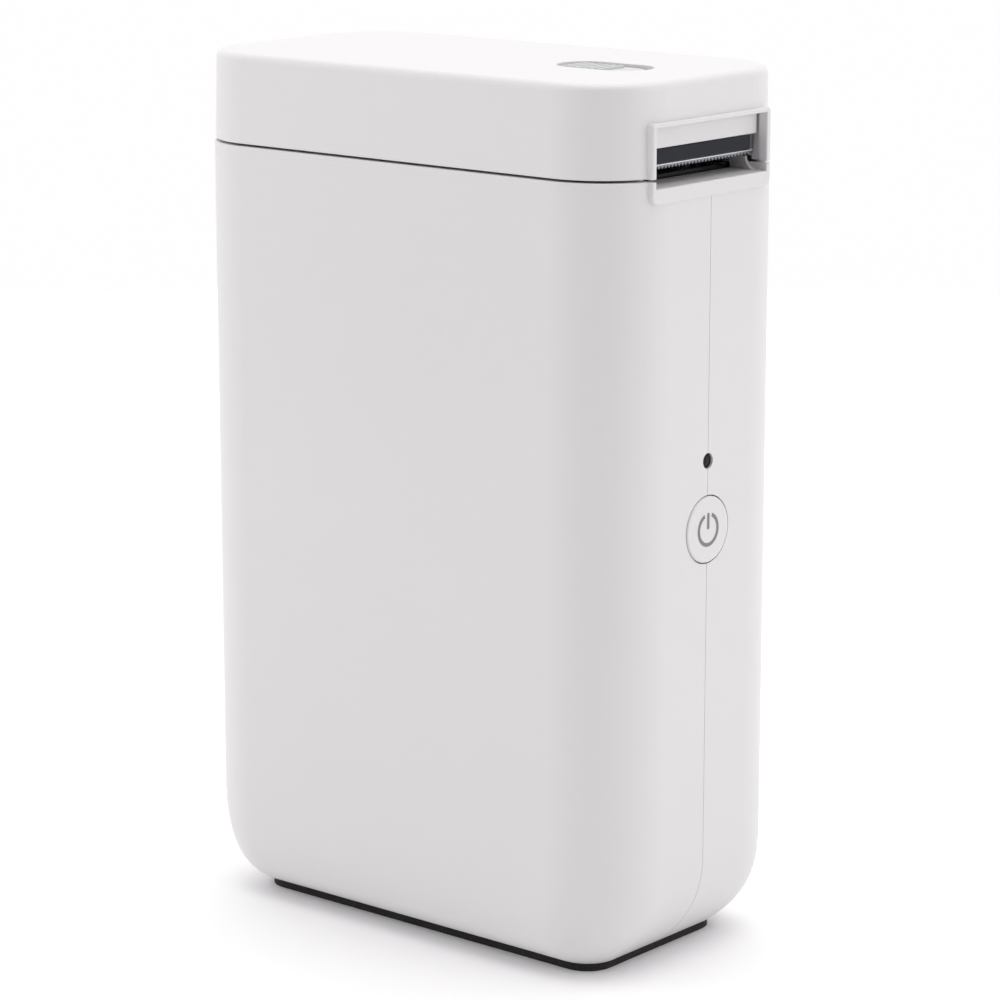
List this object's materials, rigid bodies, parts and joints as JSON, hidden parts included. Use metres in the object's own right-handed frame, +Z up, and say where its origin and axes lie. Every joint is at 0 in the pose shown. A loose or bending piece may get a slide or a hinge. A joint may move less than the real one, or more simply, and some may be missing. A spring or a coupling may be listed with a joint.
{
  "type": "thermal label printer",
  "caption": "Upright label printer with a hinged lid, a framed label slot with a tear blade, a round power button and a release slider.",
  "frame": {"origin": "centre of the foot pad's underside", "axes": "+Z up, +X towards the narrow end with the slot and the power button, +Y towards the rear wide face"},
  "size_m": [0.0858, 0.0448, 0.1348],
  "materials": {
    "shell_white": "fine moulded texture",
    "lid_white": "fine moulded texture",
    "inner_grey": "smooth moulded",
    "button_grey": "fine moulded texture",
    "button_white": "satin",
    "black_plastic": "moulded",
    "dark_gloss": "polished",
    "foot_rubber": "moulded",
    "platen_rubber": "ground",
    "steel": "ground",
    "spring_steel": "drawn",
    "zinc": "plated",
    "aluminium": "milled",
    "acetal": "moulded",
    "brass": "turned",
    "ceramic": "glazed",
    "board_green": "solder mask",
    "smoked_lens": "polished",
    "led_epoxy": "cast",
    "cell_silver": "foil",
    "lead_red": "extruded",
    "ribbon_amber": "film"
  },
  "bodies": {
    "body": {"front_shell": "shell_white", "rear_shell": "shell_white", "slot_lip": "shell_white", "latch_keepers": "zinc", "foot_pad": "foot_rubber", "shell_screws": "zinc", "chassis": "black_plastic", "hinge_pin": "steel", "gear_axles": "steel", "motor_can": "zinc", "motor_flange": "zinc", "head_ribbon": "ribbon_amber", "head_connector": "inner_grey", "head_springs": "spring_steel", "gap_sensor": "black_plastic", "main_board": "board_green", "tact_switch": "zinc", "status_led": "led_epoxy", "light_pipe": "smoked_lens", "usb_board": "board_green", "usb_socket": "zinc", "battery": "cell_silver", "battery_cradle": "black_plastic", "battery_lead": "lead_red"},
    "lid": {"lid_shell": "lid_white", "lid_liner": "inner_grey", "slot_panel": "lid_white", "tear_blade": "steel", "blade_cover": "dark_gloss", "platen_bushes": "acetal"},
    "platen": {"platen_shaft": "steel", "platen_rubber": "platen_rubber", "platen_gear": "acetal"},
    "drive": {"drive_gear": "acetal"},
    "compound": {"compound_gear": "acetal"},
    "motor_rotor": {"motor_shaft": "steel", "motor_pinion": "brass"},
    "head": {"print_head": "ceramic", "head_heatsink": "aluminium", "head_cover": "black_plastic"},
    "power_button": {"power_button": "button_white"},
    "release": {"release_button": "button_grey", "latch_slide": "black_plastic"}
  },
  "joints": [
    {"name": "lid_hinge", "type": "hinge", "parent": "body", "child": "lid", "pos_m": [-0.0404, 0, 0.1207], "axis": [0, -1, 0], "range_deg": [0, 80]},
    {"name": "platen_spin", "type": "hinge", "parent": "lid", "child": "platen", "pos_m": [0.03, 0, 0.126], "axis": [0, 1, 0], "continuous": true},
    {"name": "drive_spin", "type": "hinge", "parent": "body", "child": "drive", "pos_m": [0.03081, 0, 0.11523], "axis": [0, 1, 0], "continuous": true},
    {"name": "compound_spin", "type": "hinge", "parent": "body", "child": "compound", "pos_m": [0.02295, 0, 0.10972], "axis": [0, 1, 0], "continuous": true},
    {"name": "motor_spin", "type": "hinge", "parent": "body", "child": "motor_rotor", "pos_m": [0.02644, 0, 0.10014], "axis": [0, 1, 0], "continuous": true},
    {"name": "head_tilt", "type": "hinge", "parent": "body", "child": "head", "pos_m": [0.0258, 0, 0.1183], "axis": [0, 1, 0], "range_deg": [0, 3], "stiffness_Nm_per_rad": 0.5, "springref_deg": -5.73, "deforming": ["head_springs"]},
    {"name": "power_press", "type": "slide", "parent": "body", "child": "power_button", "axis": [-1, 0, 0], "range_m": [0, 0.0006], "stiffness_N_per_m": 800, "springref_m": -0.0005},
    {"name": "release_slide", "type": "slide", "parent": "lid", "child": "release", "axis": [1, 0, 0], "range_m": [0, 0.0015], "stiffness_N_per_m": 150, "springref_m": -0.003}
  ],
  "couplings": [
    {"joint": "drive_spin", "follows": "platen_spin", "ratio": -0.8},
    {"joint": "compound_spin", "follows": "platen_spin", "ratio": 1.3333},
    {"joint": "motor_spin", "follows": "platen_spin", "ratio": -3.2}
  ]
}
